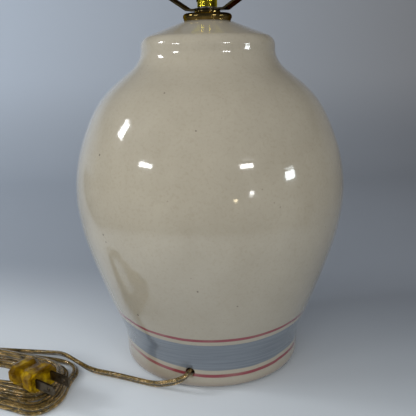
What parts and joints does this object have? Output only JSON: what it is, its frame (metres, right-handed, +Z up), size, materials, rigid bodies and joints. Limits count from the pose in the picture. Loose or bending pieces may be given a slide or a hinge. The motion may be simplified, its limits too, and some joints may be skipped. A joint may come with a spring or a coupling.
{
  "type": "lamp base",
  "caption": "Glazed jar lamp base with a brass cap, harp saddle, turn-switch bulb socket and a clear gold cord wound in a hank with its plug on top.",
  "frame": {"origin": "centre of the jar's foot, on the surface it stands on", "axes": "+Z up along the lamp pipe, -Y towards the cord hole, +Y along the switch's shaft"},
  "size_m": [0.323, 0.2184, 0.3249],
  "materials": {
    "stoneware_glaze": "glossy cream glaze with a blue-grey band and two red lines",
    "zinc_steel": "zinc plated",
    "rubber": "matt black",
    "brass_nut": "plain",
    "black_plastic": "satin",
    "antique_brass": "dark antique finish, polished",
    "plated_steel": "thin brass plate, dulled",
    "polished_brass": "polished",
    "fibre": "matt",
    "phenolic": "moulded, satin",
    "shell_aluminium": "plain",
    "contact_brass": "plain",
    "terminal_screw": "plain",
    "clear_gold_cord": "clear gold insulation over copper",
    "amber_plug": "translucent amber",
    "blade_metal": "tarnished"
  },
  "bodies": {
    "root": {"ceramic_body": "stoneware_glaze", "threaded_pipe": "zinc_steel", "cushion_washer": "rubber", "clamp_washer": "zinc_steel", "clamp_lock_washer": "zinc_steel", "clamp_nut": "brass_nut", "pipe_end_bushing": "black_plastic", "vase_cap": "antique_brass", "check_ring": "antique_brass", "harp_saddle": "plated_steel", "saddle_lock_washer": "zinc_steel", "socket_cap": "polished_brass", "hub_set_screw": "plated_steel", "socket_shell": "polished_brass", "shell_liner": "fibre", "socket_body": "phenolic", "screw_shell": "shell_aluminium", "centre_contact": "contact_brass", "terminal_plates": "contact_brass", "terminal_screws": "terminal_screw", "inner_cord": "clear_gold_cord", "socket_leads": "clear_gold_cord", "cord_lead": "clear_gold_cord", "cord_hank": "clear_gold_cord", "cord_tail": "clear_gold_cord", "plug_body": "amber_plug", "plug_blades": "blade_metal"},
    "switch": {"switch_shaft": "contact_brass", "switch_knob": "phenolic"}
  },
  "joints": [
    {"name": "switch_turn", "type": "hinge", "parent": "root", "child": "switch", "pos_m": [0, 0.0254, 0.28565], "axis": [0, 1, 0], "continuous": true}
  ]
}
